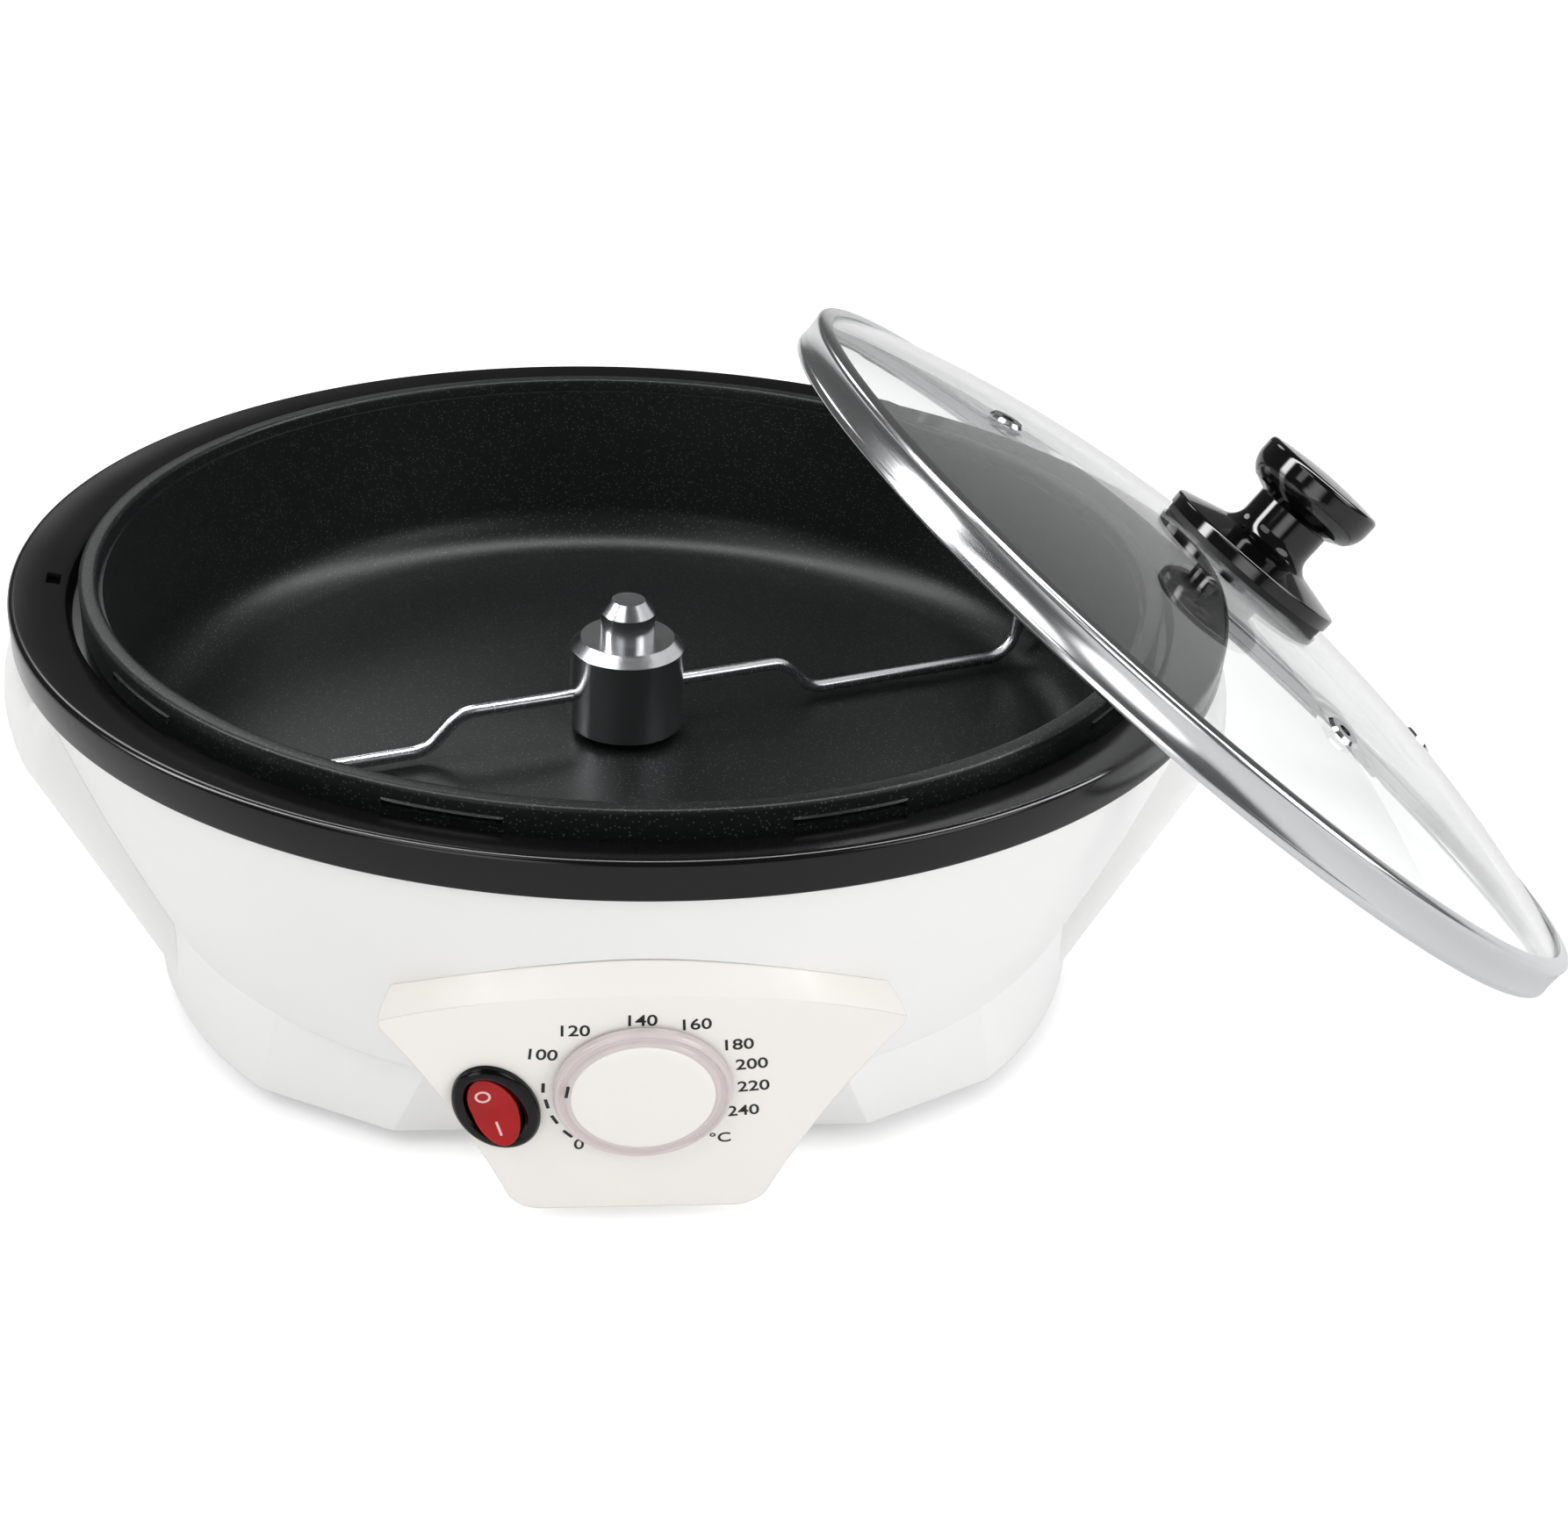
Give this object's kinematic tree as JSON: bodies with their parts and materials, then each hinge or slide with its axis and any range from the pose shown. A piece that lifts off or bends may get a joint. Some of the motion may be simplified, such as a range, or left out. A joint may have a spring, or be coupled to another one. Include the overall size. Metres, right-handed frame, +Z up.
{
  "type": "coffee bean roaster",
  "caption": "Round countertop bean roaster: moulded housing on feet, heated pan with a driven stirrer, control panel with switch and dial, loose domed glass lid.",
  "frame": {"origin": "where the roaster's vertical axis meets the table, under the middle of the base cover's round well", "axes": "+Z up along the stirrer's axis, -Y out through the control panel, +X to the right seen from the front, where the lid leans"},
  "size_m": [0.4752, 0.344, 0.1867],
  "materials": {
    "white_shell": "glossy warm white moulded plastic",
    "black_trim": "satin black moulded plastic",
    "pan_coating": "matt black non-stick coating on cast aluminium",
    "bright_steel": "polished stainless steel",
    "plated_steel": "zinc plated steel",
    "element_sheath": "oxidised heater tube",
    "aluminium_case": "plain aluminium sheet",
    "brass_part": "plain brass",
    "copper_tube": "drawn copper capillary",
    "lid_glass": "clear tempered glass",
    "black_knob": "glossy black phenolic",
    "foot_rubber": "matt black rubber",
    "silicone": "heat-proof silicone rubber",
    "dial_face": "satin warm white plastic",
    "dial_ring": "satin pinkish grey plastic",
    "switch_black": "glossy black nylon",
    "switch_red": "translucent red plastic",
    "black_plastic": "matt black nylon",
    "ceramic": "white ceramic bead",
    "block_plastic": "natural nylon",
    "lead_sleeve": "glass-braid sleeved wire"
  },
  "bodies": {
    "roaster": {"housing": "white_shell", "base_cover": "black_plastic", "rubber_feet": "foot_rubber", "foot_screws": "plated_steel", "base_screws": "plated_steel", "trim_ring": "black_trim", "cord_gland": "black_plastic", "gland_nut": "black_plastic", "roasting_pan": "pan_coating", "pan_studs": "plated_steel", "spacer_tubes": "plated_steel", "stud_nuts": "plated_steel", "heating_element": "element_sheath", "element_ends": "ceramic", "element_clamps": "bright_steel", "heat_shield": "aluminium_case", "thermal_cutout": "ceramic", "cutout_bracket": "plated_steel", "sensing_bulb": "copper_tube", "bulb_clips": "bright_steel", "capillary_tube": "copper_tube", "motor_can": "plated_steel", "gearbox_case": "plated_steel", "motor_bracket": "plated_steel", "motor_screws": "plated_steel", "bracket_screws": "plated_steel", "shaft_bush": "brass_part", "shaft_seal": "silicone", "control_panel": "white_shell", "panel_screws": "plated_steel", "thermostat_body": "aluminium_case", "thermostat_terminals": "brass_part", "thermostat_screws": "plated_steel", "switch_body": "switch_black", "switch_terminals": "brass_part", "terminal_block": "block_plastic", "block_screws": "plated_steel", "terminal_screws": "brass_part", "earth_stud": "brass_part", "internal_leads": "lead_sleeve"},
    "lid": {"lid_glass": "lid_glass", "lid_rim": "bright_steel", "lid_vents": "bright_steel", "lid_knob": "black_knob", "knob_gasket": "silicone", "knob_washer": "bright_steel", "knob_screw": "bright_steel"},
    "dial": {"control_knob": "dial_face", "knob_skirt": "dial_ring", "thermostat_shaft": "bright_steel"},
    "rocker": {"switch_rocker": "switch_red"},
    "stirrer": {"drive_shaft": "bright_steel", "shaft_circlip": "bright_steel", "stir_hub": "bright_steel", "stir_rods": "bright_steel", "stir_cap_nut": "bright_steel"}
  },
  "joints": [
    {"name": "lid_lift", "type": "slide", "parent": "roaster", "child": "lid", "axis": [0, 0, 1], "range_m": [0, 0.12]},
    {"name": "dial_turn", "type": "hinge", "parent": "roaster", "child": "dial", "pos_m": [0, -0.15745, 0.05007], "axis": [0, -0.9857, -0.1685], "range_deg": [-193, 57]},
    {"name": "rocker_tilt", "type": "hinge", "parent": "roaster", "child": "rocker", "pos_m": [-0.0355, -0.15654, 0.04475], "axis": [0.9781, -0.035, 0.2049], "range_deg": [0, 22]},
    {"name": "stirrer_spin", "type": "hinge", "parent": "roaster", "child": "stirrer", "pos_m": [0, 0, 0.09], "axis": [0, 0, 1], "continuous": true}
  ]
}
